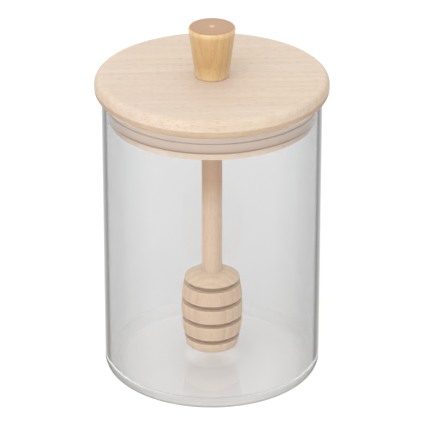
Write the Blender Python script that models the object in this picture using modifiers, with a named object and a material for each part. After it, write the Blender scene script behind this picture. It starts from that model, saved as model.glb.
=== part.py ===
"""Clear glass honey jar with a wooden lid and a wooden dipper hung under it.

Blender 4.5, metres, +Z up. The origin is the middle of the jar's flat
underside. Every piece is turned about the Z axis, so each one is a profile
in the XZ plane with a Screw modifier.
"""
import bpy
from math import cos, pi, radians, sin, sqrt

MM = 0.001
GAP = 0.3 * MM                     # left between two pieces that touch

# Glass jar: a straight cylinder, open at the top
JAR_R = 42.5 * MM
JAR_H = 115.7 * MM
WALL = 2.1 * MM
BASE = 2.6 * MM                    # thickness of the floor
HEEL_R = 4.0 * MM                  # outer rounding between side and underside
INNER_HEEL_R = 3.0 * MM
RIM_R = 0.9 * MM                   # fire-polished edge of the mouth
BORE_R = JAR_R - WALL

# Lid: a disc that rests on the rim and a plug that reaches into the mouth
LID_R = 45.2 * MM
LID_T = 7.4 * MM
LID_TOP_ROUND = 2.8 * MM
LID_LOW_ROUND = 3.0 * MM
PLUG_R = 39.0 * MM
PLUG_DEPTH = 10.5 * MM             # below the underside of the disc
PLUG_ROUND = 1.0 * MM
SEAL_GROOVE_DEPTH = 1.2 * MM
SOCKET_DEPTH = 6.0 * MM            # blind hole for the dipper's rod
LID_Z = JAR_H + GAP                # underside of the disc
PLUG_Z = LID_Z - PLUG_DEPTH
LID_TOP_Z = LID_Z + LID_T

# Silicone seal: a ring in the plug's groove, a wide lip under a thin one
SEAL_LOW_Z = 108.6 * MM
SEAL_H = 6.6 * MM
THIN_LIP_H = 1.8 * MM
LIP_GAP_H = 0.7 * MM               # groove between the two lips
LIP_GAP_DEPTH = 0.7 * MM
LIP_ROUND = 0.5 * MM
SEAL_R = BORE_R - GAP

# Knob: a small cone, wider at its top
KNOB_TOP_R = 9.3 * MM
KNOB_BASE_R = 6.4 * MM
KNOB_H = 20.4 * MM
KNOB_TOP_ROUND = 1.2 * MM
KNOB_BASE_ROUND = 0.8 * MM

# Dipper: a straight rod and a barrel-shaped head with grooves round it
ROD_R = 4.0 * MM
HEAD_LOW_Z = 8.5 * MM
HEAD_EDGE_Z = 37.9 * MM            # outer edge of the domed top
DOME_RISE = 2.9 * MM               # from that edge up to the rod
HEAD_MAX_R = 12.1 * MM
HEAD_TOP_R = 10.85 * MM
HEAD_LOW_R = 10.15 * MM
HEAD_LOW_ROUND = 0.8 * MM
GROOVES = 4
GROOVE_W = 2.0 * MM
GROOVE_DEPTH = 2.6 * MM
GROOVE_PITCH = 7.65 * MM
LOWEST_GROOVE_Z = 13.5 * MM        # middle of the lowest groove

# Flat sides round each turned piece
JAR_SIDES = 84
LID_SIDES = 84
SEAL_SIDES = 64
KNOB_SIDES = 36
DIPPER_SIDES = 36
SHARP_ANGLE = radians(40)          # an edge that turns more than this is a sharp corner


def clear_scene():
    for obj in list(bpy.data.objects):
        bpy.data.objects.remove(obj, do_unlink=True)


def make_collection(name):
    collection = bpy.data.collections.new(name)
    bpy.context.scene.collection.children.link(collection)
    return collection


def make_material(name, colour, roughness, transmission=0.0, alpha=1.0):
    material = bpy.data.materials.new(name)
    material.use_nodes = True
    shader = material.node_tree.nodes["Principled BSDF"]
    shader.inputs["Base Color"].default_value = (*colour, 1.0)
    shader.inputs["Roughness"].default_value = roughness
    shader.inputs["Metallic"].default_value = 0.0
    shader.inputs["Transmission Weight"].default_value = transmission
    shader.inputs["Alpha"].default_value = alpha
    return material


def arc(x, z, radius, start, end, steps):
    """Points on an arc about (x, z); angles in degrees from +X towards +Z."""
    points = []
    for i in range(steps + 1):
        angle = radians(start + (end - start) * i / steps)
        points.append((x + radius * cos(angle), z + radius * sin(angle)))
    return points


def turned(name, profile, sides, material, collection, ring=False):
    """Turn a profile of (radius, height) points about Z.

    The profile runs down the outer side. A ring's profile is closed; any
    other starts and ends on the axis.
    """
    count = len(profile)
    edges = [(i, i + 1) for i in range(count - 1)]
    if ring:
        edges.append((count - 1, 0))
    outline = bpy.data.meshes.new(name + "_outline")
    outline.from_pydata([(x, 0.0, z) for x, z in profile], edges, [])
    outline.materials.append(material)
    obj = bpy.data.objects.new(name, outline)
    collection.objects.link(obj)
    screw = obj.modifiers.new("Turn", "SCREW")
    screw.axis = "Z"
    screw.angle = 2 * pi
    screw.steps = sides
    screw.render_steps = sides
    screw.use_merge_vertices = True
    screw.merge_threshold = 0.01 * MM

    # The modifier is applied, so that the round sides can be smooth and the corners sharp
    depsgraph = bpy.context.evaluated_depsgraph_get()
    solid = bpy.data.meshes.new_from_object(obj.evaluated_get(depsgraph))
    obj.modifiers.clear()
    obj.data = solid
    bpy.data.meshes.remove(outline)
    solid.name = name
    solid.shade_smooth()
    solid.set_sharp_from_angle(angle=SHARP_ANGLE)
    return obj


def jar_profile():
    """Inner floor, up the inner wall, over the rim, down the outer wall."""
    inner = arc(BORE_R - INNER_HEEL_R, BASE + INNER_HEEL_R, INNER_HEEL_R, -90, 0, 4)
    rim_in = arc(BORE_R + RIM_R, JAR_H - RIM_R, RIM_R, 180, 90, 3)
    rim_out = arc(JAR_R - RIM_R, JAR_H - RIM_R, RIM_R, 90, 0, 3)
    heel = arc(JAR_R - HEEL_R, HEEL_R, HEEL_R, 0, -90, 5)
    return [(0.0, BASE), *inner, *rim_in, *rim_out, *heel, (0.0, 0.0)]


def lid_profile():
    """Disc, then plug with the seal's groove, then the rod's socket."""
    top = arc(LID_R - LID_TOP_ROUND, LID_TOP_Z - LID_TOP_ROUND, LID_TOP_ROUND, 90, 0, 6)
    low = arc(LID_R - LID_LOW_ROUND, LID_Z + LID_LOW_ROUND, LID_LOW_ROUND, 0, -90, 5)
    groove_r = PLUG_R - SEAL_GROOVE_DEPTH
    groove_top = SEAL_LOW_Z + SEAL_H + GAP
    groove_low = SEAL_LOW_Z - GAP
    groove = [(PLUG_R, groove_top), (groove_r, groove_top),
              (groove_r, groove_low), (PLUG_R, groove_low)]
    plug = arc(PLUG_R - PLUG_ROUND, PLUG_Z + PLUG_ROUND, PLUG_ROUND, 0, -90, 3)
    socket_r = ROD_R + GAP
    socket_top = PLUG_Z + SOCKET_DEPTH
    socket = [(socket_r, PLUG_Z), (socket_r, socket_top), (0.0, socket_top)]
    return [(0.0, LID_TOP_Z), *top, *low, (PLUG_R, LID_Z), *groove, *plug, *socket]


def seal_profile():
    """Thin lip, groove and wide lip down the outside, flat inside."""
    inner_r = PLUG_R - SEAL_GROOVE_DEPTH + GAP
    top = SEAL_LOW_Z + SEAL_H
    thin_low = top - THIN_LIP_H
    wide_top = thin_low - LIP_GAP_H
    gap_r = SEAL_R - LIP_GAP_DEPTH
    wide_up = arc(SEAL_R - LIP_ROUND, wide_top - LIP_ROUND, LIP_ROUND, 90, 0, 2)
    wide_down = arc(SEAL_R - LIP_ROUND, SEAL_LOW_Z + LIP_ROUND, LIP_ROUND, 0, -90, 2)
    return [(inner_r, top), (SEAL_R, top), (SEAL_R, thin_low), (gap_r, thin_low),
            (gap_r, wide_top), *wide_up, *wide_down, (inner_r, SEAL_LOW_Z)]


def knob_profile():
    """A cone standing on its narrow end, both edges rounded."""
    low = LID_TOP_Z + GAP
    top = LID_TOP_Z + KNOB_H
    crown = arc(KNOB_TOP_R - KNOB_TOP_ROUND, top - KNOB_TOP_ROUND, KNOB_TOP_ROUND, 90, 0, 4)
    foot = arc(KNOB_BASE_R - KNOB_BASE_ROUND, low + KNOB_BASE_ROUND, KNOB_BASE_ROUND, 0, -90, 3)
    return [(0.0, top), *crown, *foot, (0.0, low)]


def head_radius(z):
    """Radius of the barrel at height z, a parabola through its three radii."""
    top_fall = HEAD_MAX_R - HEAD_TOP_R
    low_fall = HEAD_MAX_R - HEAD_LOW_R
    height = HEAD_EDGE_Z - HEAD_LOW_Z
    widest_z = HEAD_LOW_Z + height / (1 + sqrt(top_fall / low_fall))
    bend = low_fall / (widest_z - HEAD_LOW_Z) ** 2
    return HEAD_MAX_R - bend * (z - widest_z) ** 2


def dome(steps):
    """The head's top, from the rod out to the edge, a quarter sine in height."""
    points = []
    for i in range(steps + 1):
        share = i / steps
        radius = ROD_R + (HEAD_TOP_R - ROD_R) * share
        points.append((radius, HEAD_EDGE_Z + DOME_RISE * cos(share * pi / 2)))
    return points


def dipper_profile():
    """Rod, domed top of the head, lands with grooves between, underside."""
    rod_top = PLUG_Z + SOCKET_DEPTH - GAP
    points = [(0.0, rod_top), (ROD_R, rod_top), *dome(4)]
    land_steps = 3
    for i in reversed(range(GROOVES)):
        middle = LOWEST_GROOVE_Z + GROOVE_PITCH * i
        upper = middle + GROOVE_W / 2
        lower = middle - GROOVE_W / 2
        floor_r = head_radius(middle) - GROOVE_DEPTH
        points += [(head_radius(upper), upper), (floor_r, upper),
                   (floor_r, lower), (head_radius(lower), lower)]
        if i > 0:
            land = GROOVE_PITCH - GROOVE_W
            for step in range(1, land_steps):
                z = lower - land * step / land_steps
                points.append((head_radius(z), z))
    points += arc(HEAD_LOW_R - HEAD_LOW_ROUND, HEAD_LOW_Z + HEAD_LOW_ROUND,
                  HEAD_LOW_ROUND, 0, -90, 3)
    points.append((0.0, HEAD_LOW_Z))
    return points


def main():
    clear_scene()
    parts = make_collection("honey_jar_with_dipper")
    glass = make_material("clear_glass", (0.86, 0.88, 0.88), 0.03, transmission=1.0, alpha=0.35)
    pale_wood = make_material("pale_lid_wood", (0.77, 0.63, 0.50), 0.55)
    silicone = make_material("milky_silicone", (0.62, 0.55, 0.47), 0.45)
    warm_wood = make_material("varnished_knob_wood", (0.65, 0.40, 0.19), 0.35)
    dipper_wood = make_material("dipper_wood", (0.72, 0.54, 0.37), 0.6)

    turned("jar", jar_profile(), JAR_SIDES, glass, parts)
    turned("lid", lid_profile(), LID_SIDES, pale_wood, parts)
    turned("seal_ring", seal_profile(), SEAL_SIDES, silicone, parts, ring=True)
    turned("knob", knob_profile(), KNOB_SIDES, warm_wood, parts)
    turned("dipper", dipper_profile(), DIPPER_SIDES, dipper_wood, parts)


main()
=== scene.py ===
from math import ceil, cos, pi, radians, sin, sqrt, tan

import bpy
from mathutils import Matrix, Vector


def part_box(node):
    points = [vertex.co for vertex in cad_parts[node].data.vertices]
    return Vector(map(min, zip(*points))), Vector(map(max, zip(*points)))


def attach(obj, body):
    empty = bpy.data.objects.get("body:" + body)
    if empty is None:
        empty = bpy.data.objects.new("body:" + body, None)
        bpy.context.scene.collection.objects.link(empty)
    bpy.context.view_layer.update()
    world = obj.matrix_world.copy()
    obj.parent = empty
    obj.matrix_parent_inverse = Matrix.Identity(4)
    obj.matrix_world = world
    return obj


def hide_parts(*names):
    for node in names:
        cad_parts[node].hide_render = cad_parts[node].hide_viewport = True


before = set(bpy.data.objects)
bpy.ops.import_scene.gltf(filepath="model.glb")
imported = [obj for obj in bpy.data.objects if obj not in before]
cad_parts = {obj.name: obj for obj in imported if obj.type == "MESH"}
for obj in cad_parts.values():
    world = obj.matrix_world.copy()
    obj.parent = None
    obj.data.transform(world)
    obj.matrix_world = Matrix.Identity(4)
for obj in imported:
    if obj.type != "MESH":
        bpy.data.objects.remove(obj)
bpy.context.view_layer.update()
mm = 0.001


# Small helpers that every piece and every material uses

def hexColour(text):
    channels = []
    for start in (0, 2, 4):
        level = int(text[start:start + 2], 16) / 255
        channels.append(level / 12.92 if level <= 0.04045 else ((level + 0.055) / 1.055) ** 2.4)
    return (*channels, 1.0)


def addNode(tree, kind, values=None, links=None, stops=None, **settings):
    node = tree.nodes.new(kind)
    for name, setting in settings.items():
        setattr(node, name, setting)
    if stops:  # a ramp's (place, colour) pairs
        marks = node.color_ramp.elements
        while len(marks) < len(stops):
            marks.new(1.0)
        for mark, (place, colour) in zip(marks, stops):
            mark.position = place
            mark.color = hexColour(colour)
    for socket, value in (values or {}).items():
        node.inputs[socket].default_value = value
    for socket, source in (links or {}).items():
        tree.links.new(source, node.inputs[socket])
    return node


def newMaterial(name):
    material = bpy.data.materials.new(name)
    material.use_nodes = True
    tree = material.node_tree
    return material, tree, tree.nodes["Principled BSDF"]


# Profiles: corners of (radius, height, rounding, tone) in mm, running down the outer side.
# The tone goes along as an attribute: on wood mostly painted shade, with the darker grooves part scorch lines, part
# painted shade; on glass the inner (1) wall takes a painted grey tint and the outer (-1) wall painted dark outlines

def roundCorner(before, corner, after):
    place = Vector(corner[:2])
    rounding, tone = corner[2:]
    if rounding == 0:
        return [(*place, tone)]
    back = (Vector(before[:2]) - place).normalized()
    ahead = (Vector(after[:2]) - place).normalized()
    half = back.angle(ahead) / 2
    reach = rounding / tan(half)
    middle = place + (back + ahead).normalized() * rounding / sin(half)
    start = (place + back * reach - middle) / rounding
    end = (place + ahead * reach - middle) / rounding
    steps = max(3, ceil((pi - 2 * half) / radians(12)))
    support = min(0.15, rounding / 2)  # rows this close keep the flats shaded flat
    points = [place + back * (reach + support)]
    points += [middle + rounding * start.slerp(end, step / steps) for step in range(steps + 1)]
    points.append(place + ahead * (reach + support))
    return [(*point, tone) for point in points]


def roundedProfile(corners, spacing, ring=False):
    outline = []
    count = len(corners)
    for i, corner in enumerate(corners):
        if ring or 0 < i < count - 1:
            outline += roundCorner(corners[i - 1], corner, corners[(i + 1) % count])
        else:
            outline.append((corner[0], corner[1], corner[3]))
    closing = [outline[0]] if ring else []
    profile = []
    for here, there in zip(outline, outline[1:] + closing):
        pieces = max(1, ceil((Vector(there[:2]) - Vector(here[:2])).length / spacing))
        for piece in range(pieces):
            share = piece / pieces
            profile.append(tuple(a + (b - a) * share for a, b in zip(here, there)))
    return profile if ring else profile + [outline[-1]]


# The lathe: Geometry Nodes sweep a profile round the Z axis and add a turner's slight unevenness

def buildLathe():
    tree = bpy.data.node_groups.new("Lathe", "GeometryNodeTree")
    face = tree.interface
    face.new_socket("Profile", in_out="INPUT", socket_type="NodeSocketGeometry")
    for name, kind in (("Sides", "NodeSocketInt"), ("Unevenness", "NodeSocketFloat"),
                       ("Wave length", "NodeSocketFloat"), ("Seed", "NodeSocketFloat"),
                       ("Finish", "NodeSocketMaterial")):
        face.new_socket(name, in_out="INPUT", socket_type=kind)
    face.new_socket("Piece", in_out="OUTPUT", socket_type="NodeSocketGeometry")
    given = addNode(tree, "NodeGroupInput").outputs

    reach = 10 * mm  # radius of the path; the profile is moved in by as much
    place = addNode(tree, "GeometryNodeInputPosition").outputs[0]
    split = addNode(tree, "ShaderNodeSeparateXYZ", links={0: place}).outputs
    inward = addNode(tree, "ShaderNodeMath", {1: reach}, {0: split["X"]}, operation="SUBTRACT")
    down = addNode(tree, "ShaderNodeMath", {1: -1.0}, {0: split["Z"]}, operation="MULTIPLY")
    flat = addNode(tree, "ShaderNodeCombineXYZ", links={"X": inward.outputs[0], "Y": down.outputs[0]})
    curve = addNode(tree, "GeometryNodeMeshToCurve", links={"Mesh": given["Profile"]})
    profile = addNode(tree, "GeometryNodeSetPosition",
                      links={"Geometry": curve.outputs[0], "Position": flat.outputs[0]})
    path = addNode(tree, "GeometryNodeCurvePrimitiveCircle", {"Radius": reach},
                   {"Resolution": given["Sides"]})
    swept = addNode(tree, "GeometryNodeCurveToMesh",
                    links={"Curve": path.outputs[0], "Profile Curve": profile.outputs[0]})
    closed = addNode(tree, "GeometryNodeMergeByDistance", {"Distance": 0.004 * mm},
                     {"Geometry": swept.outputs[0]})

    scale = addNode(tree, "ShaderNodeMath", {0: 1.0}, {1: given["Wave length"]}, operation="DIVIDE")
    waves = addNode(tree, "ShaderNodeTexNoise", {"Detail": 1.0},
                    {"Scale": scale.outputs[0], "W": given["Seed"]}, noise_dimensions="4D")
    depth = addNode(tree, "ShaderNodeMath", links={0: waves.outputs[0], 1: given["Unevenness"]},
                    operation="MULTIPLY")
    inside = addNode(tree, "ShaderNodeMath", {1: -1.0}, {0: depth.outputs[0]}, operation="MULTIPLY")
    normal = addNode(tree, "GeometryNodeInputNormal").outputs[0]
    offset = addNode(tree, "ShaderNodeVectorMath", links={0: normal, "Scale": inside.outputs[0]},
                     operation="SCALE")
    uneven = addNode(tree, "GeometryNodeSetPosition",
                     links={"Geometry": closed.outputs[0], "Offset": offset.outputs[0]})
    smooth = addNode(tree, "GeometryNodeSetShadeSmooth", links={"Geometry": uneven.outputs[0]})
    real = addNode(tree, "GeometryNodeRealizeInstances", links={"Geometry": smooth.outputs[0]})
    dressed = addNode(tree, "GeometryNodeSetMaterial",
                      links={"Geometry": real.outputs[0], "Material": given["Finish"]})
    addNode(tree, "NodeGroupOutput", links={0: dressed.outputs[0]})
    return tree


def turnPiece(name, profile, look, finish, ring=False):
    count = len(profile)
    edges = [(i, i + 1) for i in range(count - 1)]
    if ring:
        edges.append((count - 1, 0))
    outline = bpy.data.meshes.new(name + "Outline")
    outline.from_pydata([(radius * mm, 0, height * mm) for radius, height, tone in profile], edges, [])
    outline.attributes.new("tone", "FLOAT", "POINT").data.foreach_set("value", [p[2] for p in profile])
    piece = bpy.data.objects.new(name, outline)
    bpy.context.scene.collection.objects.link(piece)
    modifier = piece.modifiers.new("Lathe", "NODES")
    modifier.node_group = lathe
    settings = {"Sides": look["sides"], "Unevenness": look["unevenness"] * mm,
                "Wave length": look["waveLength"] * mm, "Seed": look["seed"], "Finish": finish}
    for item in lathe.interface.items_tree:
        if item.in_out == "INPUT" and item.name in settings:
            modifier[item.identifier] = settings[item.name]
    depsgraph = bpy.context.evaluated_depsgraph_get()
    mesh = bpy.data.meshes.new_from_object(piece.evaluated_get(depsgraph))
    piece.modifiers.clear()
    piece.data = mesh
    bpy.data.meshes.remove(outline)
    mesh.name = name
    print(name, "turned,", len(mesh.polygons), "faces")
    return piece


def standFor(piece, node):
    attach(piece, "root")
    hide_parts(node)


# Wood: every board and turning reads Object coordinates in mm, with its grain laid along X

def grainCoordinates(tree, turn, move):
    place = addNode(tree, "ShaderNodeTexCoord").outputs["Object"]
    return addNode(tree, "ShaderNodeMapping",
                   {"Location": move, "Rotation": turn, "Scale": (1 / mm, 1 / mm, 1 / mm)},
                   {"Vector": place}).outputs[0]


def grainNoise(tree, grain, length, width, detail=2.0, roughness=0.5):
    # one blotch is about length mm along the grain and width mm across it
    stretched = addNode(tree, "ShaderNodeVectorMath",
                        {1: (1 / length, 1 / width, 1 / width)}, {0: grain}, operation="MULTIPLY")
    return addNode(tree, "ShaderNodeTexNoise",
                   {"Scale": 1.0, "Detail": detail, "Roughness": roughness},
                   {"Vector": stretched.outputs[0]}).outputs[0]


def growthRings(tree, grain, pith, spacing, waver):
    # rises slowly across the pale early wood and ends in a thin dark line of late wood
    centred = addNode(tree, "ShaderNodeVectorMath", {1: (0, -pith[0], -pith[1])}, {0: grain}, operation="ADD")
    across = addNode(tree, "ShaderNodeVectorMath", {1: (0, 1, 1)}, {0: centred.outputs[0]},
                     operation="MULTIPLY")
    distance = addNode(tree, "ShaderNodeVectorMath", links={0: across.outputs[0]}, operation="LENGTH")
    bend = addNode(tree, "ShaderNodeMath", {1: waver}, {0: grainNoise(tree, grain, 60, 12, 1.0)},
                   operation="MULTIPLY")
    bent = addNode(tree, "ShaderNodeMath", links={0: distance.outputs["Value"], 1: bend.outputs[0]},
                   operation="ADD")
    years = addNode(tree, "ShaderNodeMath", {1: spacing}, {0: bent.outputs[0]}, operation="DIVIDE")
    share = addNode(tree, "ShaderNodeMath", links={0: years.outputs[0]}, operation="FRACT")
    return addNode(tree, "ShaderNodeValToRGB", links={0: share.outputs[0]},
                   stops=((0.35, "000000"), (0.92, "FFFFFF"), (1.0, "000000"))).outputs[0]


def sandedWood(name, look, upright=False):
    material, tree, shader = newMaterial(name)
    turn = (0, radians(90), radians(look["slant"])) if upright else (0, 0, radians(look["slant"]))
    grain = grainCoordinates(tree, turn, look["move"])
    rings = growthRings(tree, grain, look["pith"], look["ringSpacing"], look["waver"])
    streaks = grainNoise(tree, grain, look["streakLength"], look["streakWidth"], 3.0)
    blotches = grainNoise(tree, grain, 45, 16, 1.0)
    poreNoise = grainNoise(tree, grain, look["poreLength"], look["poreWidth"], 0.0)
    pores = addNode(tree, "ShaderNodeMapRange", {"From Min": 0.62, "From Max": 0.74}, {"Value": poreNoise})

    tinted = addNode(tree, "ShaderNodeMix", {6: hexColour(look["pale"]), 7: hexColour(look["warm"])},
                     {0: blotches}, data_type="RGBA")
    streaky = addNode(tree, "ShaderNodeMapRange", {"From Min": 0.3, "From Max": 0.75, "To Max": look["streakMix"]},
                      {"Value": streaks})
    streaked = addNode(tree, "ShaderNodeMix", {7: hexColour(look["streak"])},
                       {0: streaky.outputs[0], 6: tinted.outputs[2]}, data_type="RGBA")
    ringShare = addNode(tree, "ShaderNodeMath", {1: look["ringMix"]}, {0: rings}, operation="MULTIPLY")
    ringed = addNode(tree, "ShaderNodeMix", {7: hexColour(look["lateWood"])},
                     {0: ringShare.outputs[0], 6: streaked.outputs[2]}, data_type="RGBA")
    poreShare = addNode(tree, "ShaderNodeMath", {1: look["poreMix"]}, {0: pores.outputs[0]}, operation="MULTIPLY")
    pored = addNode(tree, "ShaderNodeMix", {7: hexColour(look["pore"])},
                    {0: poreShare.outputs[0], 6: ringed.outputs[2]}, data_type="RGBA")
    # cut ends drink in more light than the sides do, so they are darker
    normal = addNode(tree, "ShaderNodeTexCoord").outputs["Normal"]
    along = addNode(tree, "ShaderNodeSeparateXYZ", links={0: normal}).outputs["Z" if upright else "X"]
    facing = addNode(tree, "ShaderNodeMath", links={0: along}, operation="ABSOLUTE")
    tone = addNode(tree, "ShaderNodeAttribute", attribute_name="tone").outputs["Fac"]
    cut = addNode(tree, "ShaderNodeMapRange", {"From Min": -1.0, "From Max": 0.0}, {"Value": tone})
    endShare = addNode(tree, "ShaderNodeMapRange", {"From Min": 0.55, "From Max": 0.98},
                       {"Value": facing.outputs[0], "To Max": cut.outputs[0]})
    ended = addNode(tree, "ShaderNodeMix", {7: hexColour(look["endGrain"])},
                    {0: endShare.outputs[0], 6: pored.outputs[2]}, data_type="RGBA", blend_type="MULTIPLY")
    # the tone multiplies in the tone tint: painted shade under the lid's rim, on the plug, on the knob's sides and on
    # the rod under the lid; in the dipper's grooves part scorch lines, part painted shade
    toned = addNode(tree, "ShaderNodeMix", {7: hexColour(look["toneTint"])},
                    {0: tone, 6: ended.outputs[2]}, data_type="RGBA", blend_type="MULTIPLY")
    # a negative tone drops the end-grain darkening and takes the face tint: painted shade that keeps the lid's top
    # face a little darker and cooler than its rounded rim
    face = addNode(tree, "ShaderNodeMix", {6: hexColour(look["faceShadeTint"]), 7: hexColour("FFFFFF")},
                   {0: cut.outputs[0]}, data_type="RGBA")
    faced = addNode(tree, "ShaderNodeMix", {0: 1.0}, {6: toned.outputs[2], 7: face.outputs[2]},
                    data_type="RGBA", blend_type="MULTIPLY")
    tree.links.new(faced.outputs[2], shader.inputs["Base Color"])

    relief = addNode(tree, "ShaderNodeMath", {1: -0.6}, {0: pores.outputs[0], 2: streaks},
                     operation="MULTIPLY_ADD")
    bump = addNode(tree, "ShaderNodeBump", {"Strength": look["bump"], "Distance": 0.06 * mm},
                   {"Height": relief.outputs[0]})
    tree.links.new(bump.outputs[0], shader.inputs["Normal"])
    dull = addNode(tree, "ShaderNodeMapRange",
                   {"To Min": look["roughness"] - 0.06, "To Max": look["roughness"] + 0.06}, {"Value": streaks})
    tree.links.new(dull.outputs[0], shader.inputs["Roughness"])
    shader.inputs["Coat Weight"].default_value = look["coat"]
    shader.inputs["Coat Roughness"].default_value = look["coatRoughness"]
    return material


lathe = buildLathe()


# Camera at the photo's angle: about 26 degrees above the table, far enough for nearly upright sides

viewpoint = dict(elevation=25.65, distance=1250, aimSide=0.4, aimHeight=64.87, pixelsPerMm=2.5565,
                 framePixels=426, sensor=36)


def addCamera(look):
    target = Vector((look["aimSide"], 0, look["aimHeight"])) * mm
    slope = radians(look["elevation"])
    back = Vector((0, -cos(slope), sin(slope)))
    lens = bpy.data.cameras.new("camera")
    lens.sensor_width = look["sensor"]
    focalPixels = look["pixelsPerMm"] * look["distance"]
    lens.lens = focalPixels * look["sensor"] / look["framePixels"]
    lens.clip_start = 0.01
    lens.clip_end = 50
    camera = bpy.data.objects.new("camera", lens)
    camera.location = target + back * look["distance"] * mm
    camera.rotation_euler = (-back).to_track_quat("-Z", "Y").to_euler()
    bpy.context.scene.collection.objects.link(camera)
    bpy.context.scene.camera = camera


addCamera(viewpoint)
print("camera placed")


# Stage: a pale floor under a bright room with large soft lamps

stage = dict(floorSize=8.0, floor="F8F8F8", zenith="FFFFFF", horizon="CBCBCB", sky=1.42, sideShade=0.6)
lamps = (
    dict(name="softbox", place=(-0.62, -1.1, 0.9), size=1.8, power=8.5),
)


def addFloor(look):
    material, tree, shader = newMaterial("Matte white backdrop paper")  # even and shineless
    shader.inputs["Base Color"].default_value = hexColour(look["floor"])
    shader.inputs["Roughness"].default_value = 0.9
    shader.inputs["Specular IOR Level"].default_value = 0.2
    half = look["floorSize"] / 2
    mesh = bpy.data.meshes.new("floor")
    mesh.from_pydata([(-half, -half, 0), (half, -half, 0), (half, half, 0), (-half, half, 0)], [], [(0, 1, 2, 3)])
    mesh.materials.append(material)
    floor = bpy.data.objects.new("floor", mesh)
    floor.location.z = -0.1 * mm
    bpy.context.scene.collection.objects.link(floor)


def addRoom(look):
    # brightest overhead, a little darker all round, darkest at the left and right walls
    world = bpy.data.worlds.new("room")
    world.use_nodes = True
    bpy.context.scene.world = world
    tree = world.node_tree
    direction = addNode(tree, "ShaderNodeTexCoord").outputs["Generated"]
    split = addNode(tree, "ShaderNodeSeparateXYZ", links={0: direction}).outputs
    shade = addNode(tree, "ShaderNodeMix", {6: hexColour(look["horizon"]), 7: hexColour(look["zenith"])},
                    {0: split["Z"]}, data_type="RGBA")
    side = addNode(tree, "ShaderNodeMath", links={0: split["X"], 1: split["X"]}, operation="MULTIPLY")
    dim = addNode(tree, "ShaderNodeMath", {1: -look["sideShade"], 2: 1.0}, {0: side.outputs[0]},
                  operation="MULTIPLY_ADD")
    level = addNode(tree, "ShaderNodeMath", {1: look["sky"]}, {0: dim.outputs[0]}, operation="MULTIPLY")
    background = tree.nodes["Background"]
    tree.links.new(shade.outputs[2], background.inputs["Color"])
    tree.links.new(level.outputs[0], background.inputs["Strength"])


def addLamp(look):
    light = bpy.data.lights.new(look["name"], "AREA")
    light.shape = "DISK"
    light.size = look["size"]
    light.energy = look["power"]
    lamp = bpy.data.objects.new(look["name"], light)
    lamp.location = look["place"]
    towards = Vector((0, 0, 0.07)) - lamp.location
    lamp.rotation_euler = towards.to_track_quat("-Z", "Y").to_euler()
    bpy.context.scene.collection.objects.link(lamp)


addFloor(stage)
addRoom(stage)
for lamp in lamps:
    addLamp(lamp)
bpy.context.scene.view_settings.view_transform = "Standard"
bounces = bpy.context.scene.cycles  # light runs a long way inside the jar's floor before it comes out
bounces.max_bounces = bounces.glossy_bounces = bounces.transmission_bounces = 24
print("stage and lamps set")


lidLook = dict(discUnderside=116.0, topRound=2.8, lowRound=3.0, plugRadius=39.0, plugRound=1.0,
               sealLow=108.6, sealHeight=6.6, grooveDepth=1.2, socketDepth=6.0, socketRadius=4.05,
               sides=224, unevenness=0.06, waveLength=14, seed=3,
               pale="DBCCBE", warm="DDC9AE", streak="CDB69D", streakMix=0.5,
               lateWood="BE9C7A", ringMix=0.1, ringSpacing=3.2, pith=(90, -110), waver=6.0, move=(7, 0, -115),
               slant=-2, pore="A98567", poreMix=0.3, poreLength=3.0, poreWidth=0.35, streakLength=60, streakWidth=2.4,
               toneTint="E5D9CB", faceShadeTint="F9FAFF", endGrain="E6DDD6", bump=0.12, roughness=0.62, coat=0.0, coatRoughness=0.3)


# Jar: borosilicate glass tube, flame-worked floor and rim

# the wall shade colour and amount and the floor and heel tones paint shade into the glass; the edge ramp and the heel
# edge paint its dark outlines
jarLook = dict(wall=2.1, base=2.6, heel=4.0, innerHeel=3.0, rim=0.9, sides=256,
               unevenness=0.0, waveLength=20, seed=1, ior=1.47, wallShadeColour="001428", wallShade=0.577, floorShade=0.9, heelRoughness=0.9,
               heelEdgeShade=0.6, heelShades=(0.65, 0.5, 0.28, 0.2, 0.35, 0.6, 0.7, 0.7, 0.7, 0.6, 0.4),
               edge=((0.25, "FFFFFF"), (0.4, "E6E6E6"), (0.5, "CCCCCC"), (0.6, "B2B2B2"),
                     (0.69, "929292"), (0.72, "484848"), (0.75, "000000")))


def jarProfile(look):
    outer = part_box("jar")[1].x / mm
    bore = outer - look["wall"]
    rim = lidLook["discUnderside"] - 0.05  # the CAD keeps a gap here; the glass meets the lid
    # tones: the inner wall (1) and the floor take the painted grey tint, the floor's middle left clear as a painted
    # pool of light that cancels the dipper's shadow; the outer wall (-1) takes the painted dark edge
    corners = [(0, look["base"], 0, 0), (3, look["base"], 0, 0), (12, look["base"], 0, look["floorShade"]),
               (bore - 5, look["base"], 0, look["floorShade"]),
               (bore, look["base"], look["innerHeel"], 1), (bore, rim, look["rim"], 1),
               (outer, rim, look["rim"], -1), (outer, 6.7, 0, -1), (outer, 6.3, 0, 0.2), (outer, 5, 0, 0.65),
               (outer, 4.5, 0, 0.5)]
    # the foot of the outer wall and the heel take painted shade that darkens the bright floor seen through them
    for i, tone in enumerate(look["heelShades"]):
        angle = i / (len(look["heelShades"]) - 1) * pi / 2
        corners.append((outer - look["heel"] * (1 - cos(angle)), look["heel"] * (1 - sin(angle)), 0, tone))
    corners.append((0, 0, 0, 0))
    return roundedProfile(corners, 5.0)


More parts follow.
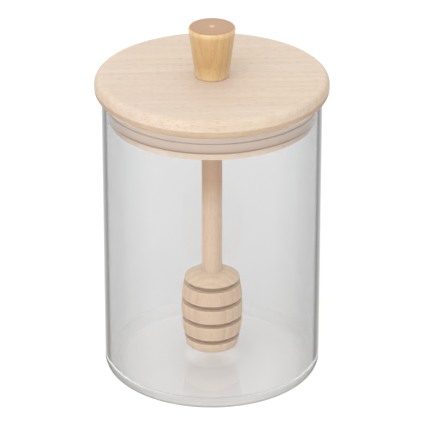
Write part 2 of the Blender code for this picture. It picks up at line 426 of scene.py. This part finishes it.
def borosilicateGlass(look):
    # clear and colourless head on; the grey towards the outlines is a painted dark edge from the facing ramp
    material, tree, shader = newMaterial("Borosilicate glass")
    facing = addNode(tree, "ShaderNodeLayerWeight", {"Blend": 0.5}).outputs["Facing"]
    edge = addNode(tree, "ShaderNodeValToRGB", links={0: facing}, stops=look["edge"])
    tone = addNode(tree, "ShaderNodeAttribute", attribute_name="tone").outputs["Fac"]
    # painted shade: where a ray enters the glass, the inner wall, the floor and the heel take a dark grey tint that
    # greys all seen through the jar
    wallShare = addNode(tree, "ShaderNodeMapRange", {"To Max": look["wallShade"]}, {"Value": tone}, clamp=False)
    edgeShare = addNode(tree, "ShaderNodeMapRange", {"From Max": -1.0}, {"Value": tone})
    leaving = addNode(tree, "ShaderNodeNewGeometry").outputs["Backfacing"]
    farShare = addNode(tree, "ShaderNodeMath", {0: 1.0}, {1: leaving}, operation="SUBTRACT")
    farWall = addNode(tree, "ShaderNodeMath", links={0: farShare.outputs[0], 1: wallShare.outputs[0]},
                      operation="MULTIPLY")
    wall = addNode(tree, "ShaderNodeMix", {6: hexColour("FFFFFF"), 7: hexColour(look["wallShadeColour"])},
                   {0: farWall.outputs[0]}, data_type="RGBA")
    # the heel was worked in a flame and is a little wavy, which blurs what is seen through it
    place = addNode(tree, "ShaderNodeTexCoord").outputs["Object"]
    height = addNode(tree, "ShaderNodeSeparateXYZ", links={0: place}).outputs["Z"]
    level = addNode(tree, "ShaderNodeVectorMath", {1: (1, 1, 0)}, {0: place}, operation="MULTIPLY")
    radius = addNode(tree, "ShaderNodeVectorMath", links={0: level.outputs[0]}, operation="LENGTH").outputs["Value"]
    low = addNode(tree, "ShaderNodeMath", links={0: radius, 1: height}, operation="SUBTRACT")
    heel = addNode(tree, "ShaderNodeMapRange", {"From Min": 36.6 * mm, "From Max": 37.6 * mm},
                   {"Value": low.outputs[0]})
    rough = addNode(tree, "ShaderNodeMath", {1: look["heelRoughness"]}, {0: heel.outputs[0]}, operation="MULTIPLY")
    tree.links.new(rough.outputs[0], shader.inputs["Roughness"])
    # painted dark edge along the heel's outline as well
    heelEdgeShade = addNode(tree, "ShaderNodeMapRange",
                       {"From Min": 36.1 * mm, "From Max": 36.4 * mm, "To Max": look["heelEdgeShade"]},
                       {"Value": low.outputs[0]})
    outside = addNode(tree, "ShaderNodeMath", links={0: edgeShare.outputs[0], 1: heelEdgeShade.outputs[0]},
                      operation="MAXIMUM")
    grey = addNode(tree, "ShaderNodeMix", {6: hexColour("FFFFFF")}, {0: outside.outputs[0], 7: edge.outputs[0]},
                   data_type="RGBA")
    tint = addNode(tree, "ShaderNodeMix", {0: 1.0}, {6: wall.outputs[2], 7: grey.outputs[2]},
                   data_type="RGBA", blend_type="MULTIPLY")
    tree.links.new(tint.outputs[2], shader.inputs["Base Color"])
    shader.inputs["IOR"].default_value = look["ior"]
    shader.inputs["Transmission Weight"].default_value = 1.0
    # the light of the lamps and of the room comes in through the glass at full strength
    path = addNode(tree, "ShaderNodeLightPath").outputs
    lighting = addNode(tree, "ShaderNodeMath", links={0: path["Is Shadow Ray"], 1: path["Is Diffuse Ray"]},
                       operation="MAXIMUM")
    clear = addNode(tree, "ShaderNodeBsdfTransparent")
    surface = addNode(tree, "ShaderNodeMixShader",
                      links={0: lighting.outputs[0], 1: shader.outputs[0], 2: clear.outputs[0]})
    tree.links.new(surface.outputs[0], tree.nodes["Material Output"].inputs["Surface"])
    return material


jar = turnPiece("jarGlass", jarProfile(jarLook), jarLook, borosilicateGlass(jarLook))
standFor(jar, "jar")


# Lid: one board of rubberwood turned to a disc and a plug, sanded and left bare

def lidProfile(look):
    low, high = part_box("lid")
    edge = high.x / mm
    top = high.z / mm
    underside = look["discUnderside"]
    plug = look["plugRadius"]
    plugLow = low.z / mm
    grooveTop = look["sealLow"] + look["sealHeight"] + 0.05
    grooveLow = look["sealLow"] - 0.05
    inner = plug - look["grooveDepth"]
    socketTop = plugLow + look["socketDepth"]
    # tones: the top face (-1) takes the face tint, painted shade that leaves the rim lighter; the lower rounding
    # (0.95) and the plug with its groove (0.2) are painted shade under the disc
    corners = [(0, top, 0, -1), (edge - look["topRound"] - 0.4, top, 0, -1), (edge, top, look["topRound"], -0.5),
               (edge, underside + look["lowRound"] + 0.8, 0, 0), (edge, underside, look["lowRound"], 0.95), (plug, underside, 0.2, 0.2),
               (plug, grooveTop, 0.15, 0.2), (inner, grooveTop, 0.15, 0.2), (inner, grooveLow, 0.15, 0.2),
               (plug, grooveLow, 0.15, 0.2), (plug, plugLow, look["plugRound"], 0.2),
               (look["socketRadius"], plugLow, 0.2, 0), (look["socketRadius"], socketTop, 0.2, 0),
               (0, socketTop, 0, 0)]
    return roundedProfile(corners, 1.6)


lid = turnPiece("lidBoard", lidProfile(lidLook), lidLook, sandedWood("Rubberwood, sanded", lidLook))
standFor(lid, "lid")


# Seal: moulded silicone ring, a thin lip over a wide one

sealLook = dict(low=108.6, height=6.6, inner=37.85, thinLip=1.8, lipGap=0.7, lipGapDepth=0.45, lipRound=0.3,
                sides=192, unevenness=0.03, waveLength=9, seed=5, colour="CEBCAC", shade="8F745F")


def sealProfile(look):
    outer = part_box("seal_ring")[1].x / mm
    low = look["low"]
    top = low + look["height"]
    thinLow = top - look["thinLip"]
    wideTop = thinLow - look["lipGap"]
    gap = outer - look["lipGapDepth"]
    soft = look["lipRound"]
    # tones: the thin lip and its gap stay lightest, painted light where the lid's rim shades them; the wide lip
    # darkens downwards to painted shade of the gap over the plug at its lower edge
    corners = [(look["inner"], top, soft, 0), (outer, top, soft, 0), (outer, thinLow, soft, 0),
               (gap, thinLow, 0.2, 0), (gap, wideTop, 0.2, 0), (outer, wideTop, soft, 0.2),
               (outer, low + 2.2, 0, 0.27), (outer, low + 1, 0, 0.48), (outer, low, soft, 1), (look["inner"], low, soft, 1)]
    return roundedProfile(corners, 0.8, ring=True)


def milkySilicone(look):
    # soft and slightly see-through, so light soaks in and the wood warms it from behind
    material, tree, shader = newMaterial("Silicone rubber, milky")
    tone = addNode(tree, "ShaderNodeAttribute", attribute_name="tone").outputs["Fac"]
    # the shade colour, mixed in by the tone, is painted shade
    milk = addNode(tree, "ShaderNodeMix", {6: hexColour(look["colour"]), 7: hexColour(look["shade"])},
                   {0: tone}, data_type="RGBA")
    tree.links.new(milk.outputs[2], shader.inputs["Base Color"])
    shader.inputs["Roughness"].default_value = 0.35
    shader.inputs["Subsurface Weight"].default_value = 0.4
    shader.inputs["Subsurface Radius"].default_value = (1.0, 0.8, 0.6)
    shader.inputs["Subsurface Scale"].default_value = 1.2 * mm
    shader.inputs["IOR"].default_value = 1.41
    return material


seal = turnPiece("sealRing", sealProfile(sealLook), sealLook, milkySilicone(sealLook), ring=True)
standFor(seal, "seal_ring")


# Knob: rubberwood turned to a cone, with a thin coat of amber varnish

knobLook = dict(baseRadius=6.4, topRound=1.2, baseRound=0.3, centreRadius=0.7, centreDepth=0.1,
                sides=144, unevenness=0.05, waveLength=6, seed=8,
                pale="EFD5A8", warm="E9C893", streak="D5B078", streakMix=0.42,
                lateWood="C79F6B", ringMix=0.3, ringSpacing=2.6, pith=(-14, 6), waver=1.5, move=(3, 5, 2),
                slant=0, pore="9C7848", poreMix=0.22, poreLength=2.2, poreWidth=0.32, streakLength=16, streakWidth=0.7,
                toneTint="E3D5C2", faceShadeTint="FFFFFF", endGrain="C19F74", bump=0.15, roughness=0.45, coat=1.0, coatRoughness=0.28)


def knobProfile(look):
    low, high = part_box("knob")
    wide = high.x / mm
    top = high.z / mm
    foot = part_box("lid")[1].z / mm
    base = look["baseRadius"]
    # tones: the sides are darkened by the tone tint while the rim's rounding (0.3) and the foot (0) stay lighter: a
    # painted highlight along the rim and painted light bounced from the lid onto the foot; the centre (-1) skips the
    # end-grain darkening
    corners = [(0, top - look["centreDepth"], 0, -1), (look["centreRadius"], top, 0.1, -0.6),
               (look["centreRadius"] + 0.6, top, 0, 0),
               (wide, top, look["topRound"], 0.3), (wide - 0.4, top - 2.6, 0, 0.9), (base + 0.9, foot + 6, 0, 1),
               (base, foot, look["baseRound"], 0), (0, foot, 0, 0)]
    return roundedProfile(corners, 0.8)


knob = turnPiece("knobTurned", knobProfile(knobLook), knobLook,
                 sandedWood("Rubberwood, varnished", knobLook, upright=True))
standFor(knob, "knob")


# Dipper: beech, rod and grooved head turned in one piece

dipperLook = dict(rod=4.0, headTop=10.85, headLow=10.15, edgeHeight=37.9, domeRise=2.9, lowRound=0.8,
                  sideTone=0.27, rodTone=0.2, underLidShade=0.65, grooves=4, grooveWidth=2.0, grooveDepth=2.6, groovePitch=7.65, lowestGroove=13.5,
                  sides=144, unevenness=0.06, waveLength=7, seed=12,
                  pale="D7C5B2", warm="D5BEA3", streak="C7AB8C", streakMix=0.45,
                  lateWood="B08B69", ringMix=0.25, ringSpacing=3.4, pith=(-22, 9), waver=1.5, move=(11, 3, 8),
                  slant=0, pore="997453", poreMix=0.25, poreLength=1.8, poreWidth=0.3, streakLength=20,
                  streakWidth=0.8, toneTint="C4965A", faceShadeTint="FFFFFF", endGrain="FFFFFF", bump=0.3, roughness=0.6, coat=0.0,
                  coatRoughness=0.3)


def headRadius(look, height, low, widest):
    topFall = widest - look["headTop"]
    lowFall = widest - look["headLow"]
    length = look["edgeHeight"] - low
    widestHeight = low + length / (1 + sqrt(topFall / lowFall))
    return widest - lowFall * ((height - widestHeight) / (widestHeight - low)) ** 2


def dipperProfile(look):
    low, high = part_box("dipper")
    foot, top, widest = low.z / mm, high.z / mm, high.x / mm
    rod = look["rod"]
    # the rod's top 31 mm, under the lid, is painted shade of the lid's shadow, fading to the rod's tone over the next
    # 12 mm
    corners = [(0, top, 0, 0), (rod, top, 0.3, look["underLidShade"]), (rod, top - 31, 0, look["underLidShade"]),
               (rod, top - 43, 0, look["rodTone"])]
    domeSteps = 12
    for step in range(domeSteps + 1):
        share = step / domeSteps
        corners.append((rod + (look["headTop"] - rod) * share,
                        look["edgeHeight"] + look["domeRise"] * cos(share * pi / 2),
                        0, 0.06 if step else look["rodTone"]))
    for i in reversed(range(look["grooves"])):
        middle = look["lowestGroove"] + look["groovePitch"] * i
        upper = middle + look["grooveWidth"] / 2
        lower = middle - look["grooveWidth"] / 2
        core = headRadius(look, middle, foot, widest) - look["grooveDepth"]
        # each groove is darker part as a scorch line, part as painted shade: darkest on the core under the land above,
        # clear on the ledge that faces up
        corners += [(headRadius(look, upper, foot, widest), upper, 0.2, 0.1), (core, upper, 0.25, 0.7),
                    (core, lower, 0.25, 0.55), (core + 0.9, lower, 0, 0),
                    (headRadius(look, lower, foot, widest), lower, 0.2, 0.1)]
        if i > 0:
            land = look["groovePitch"] - look["grooveWidth"]
            for share in (0.12, 0.3, 0.5, 0.7, 0.88):
                height = lower - land * share
                corners.append((headRadius(look, height, foot, widest), height, 0, look["sideTone"]))
    corners += [(look["headLow"], foot, look["lowRound"], look["sideTone"]), (0, foot, 0, 0)]
    return roundedProfile(corners, 0.8)


dipper = turnPiece("dipperTurned", dipperProfile(dipperLook), dipperLook,
                   sandedWood("Beech, turned", dipperLook, upright=True))
standFor(dipper, "dipper")
print("all pieces in place")
